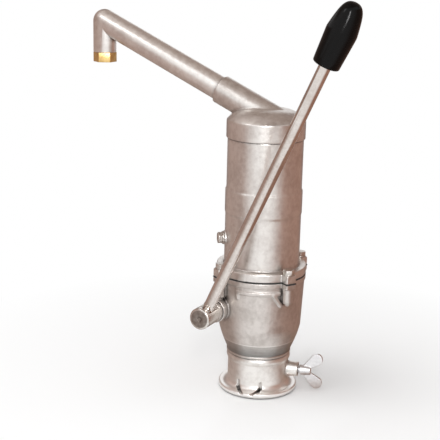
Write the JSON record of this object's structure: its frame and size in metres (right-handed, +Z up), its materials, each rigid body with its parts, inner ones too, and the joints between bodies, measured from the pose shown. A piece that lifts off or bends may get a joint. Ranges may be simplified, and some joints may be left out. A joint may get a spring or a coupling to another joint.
{
  "type": "drum pump",
  "caption": "Hand pump for drums: a side lever drives a piston in a cast cylinder, with an angled spout and a telescopic suction tube on a clamped bung adapter.",
  "frame": {"origin": "centre of the bung adapter's thread in the plane of the drum top, under the flange", "axes": "+Z up along the pump cylinder, -X along the spout, -Y towards the lever's head"},
  "size_m": [0.3164, 0.1293, 0.7415],
  "materials": {
    "cast_zinc": "die-cast, grainy satin",
    "plated_steel": "plated, bright",
    "bright_zinc": "bright zinc plate",
    "brass": "turned",
    "bronze": "sintered bearing bronze",
    "black_rubber": "matt",
    "black_grip": "glossy moulded",
    "tube_steel": "galvanised"
  },
  "bodies": {
    "drum_fitting": {"bung_adapter": "cast_zinc", "bung_gasket": "black_rubber"},
    "clamp": {"clamp_pad": "brass"},
    "screw": {"wing_screw": "bright_zinc"},
    "pump_body": {"lower_casing": "cast_zinc", "joint_gasket": "black_rubber", "cylinder": "cast_zinc", "flange_bolts": "plated_steel", "flange_washers": "plated_steel", "cylinder_cap": "cast_zinc", "cap_gasket": "black_rubber", "spout_pipe": "cast_zinc", "nozzle_ring": "brass", "vent_plug": "plated_steel", "vent_washer": "plated_steel", "front_bush": "bronze", "rear_bush": "bronze", "gland_packing": "black_rubber", "gland_nut": "plated_steel", "valve_seat": "brass", "suction_tube": "tube_steel", "suction_collar": "tube_steel", "suction_grip_ring": "black_rubber"},
    "lever": {"crank_shaft": "plated_steel", "rod_pin": "plated_steel", "lever_rod": "plated_steel", "lever_grip": "black_grip", "rocker_arm": "cast_zinc", "arm_pin": "plated_steel", "roller_pin": "plated_steel", "roller_clip": "plated_steel"},
    "drive_roller": {"roller": "bronze"},
    "piston": {"piston_rod": "plated_steel", "piston_body": "cast_zinc", "piston_cup": "black_rubber", "cup_plate": "brass", "cup_screws": "plated_steel", "valve_sleeve": "brass", "valve_stop": "plated_steel", "piston_nut": "plated_steel"},
    "upper_valve": {"piston_valve": "brass"},
    "lower_valve": {"suction_valve": "brass", "stem_clip": "plated_steel"},
    "middle_stage": {"middle_tube": "tube_steel", "middle_collar": "tube_steel", "middle_grip_ring": "black_rubber"},
    "inner_stage": {"inner_tube": "tube_steel", "strainer": "brass"}
  },
  "joints": [
    {"name": "clamp_slide", "type": "slide", "parent": "drum_fitting", "child": "clamp", "axis": [0.9659, 0.2588, 0], "range_m": [0, 0.0025]},
    {"name": "wing_screw_turn", "type": "hinge", "parent": "clamp", "child": "screw", "pos_m": [0.05313, 0.01423, 0.021], "axis": [0.9659, 0.2588, 0], "range_deg": [0, 720]},
    {"name": "pump_swivel", "type": "hinge", "parent": "drum_fitting", "child": "pump_body", "pos_m": [0, 0, 0.039], "axis": [0, 0, 1], "continuous": true},
    {"name": "lever_swing", "type": "hinge", "parent": "pump_body", "child": "lever", "pos_m": [-0.028, 0, 0.0895], "axis": [0, 1, 0], "range_deg": [-45, 45]},
    {"name": "roller_spin", "type": "hinge", "parent": "lever", "child": "drive_roller", "pos_m": [0.006, 0, 0.0895], "axis": [0, 1, 0], "continuous": true},
    {"name": "piston_slide", "type": "slide", "parent": "pump_body", "child": "piston", "axis": [0, 0, 1], "range_m": [-0.0248, 0.0248]},
    {"name": "upper_valve_lift", "type": "slide", "parent": "piston", "child": "upper_valve", "axis": [0, 0, 1], "range_m": [0, 0.004]},
    {"name": "lower_valve_lift", "type": "slide", "parent": "pump_body", "child": "lower_valve", "axis": [0, 0, 1], "range_m": [0, 0.004]},
    {"name": "middle_tube_slide", "type": "slide", "parent": "pump_body", "child": "middle_stage", "axis": [0, 0, -1], "range_m": [0, 0.25]},
    {"name": "inner_tube_slide", "type": "slide", "parent": "middle_stage", "child": "inner_stage", "axis": [0, 0, -1], "range_m": [0, 0.25]}
  ],
  "couplings": [
    {"joint": "wing_screw_turn", "follows": "clamp_slide", "rad_per_m": 5026.5},
    {"joint": "piston_slide", "follows": "lever_swing", "m_per_rad": -0.03145}
  ]
}
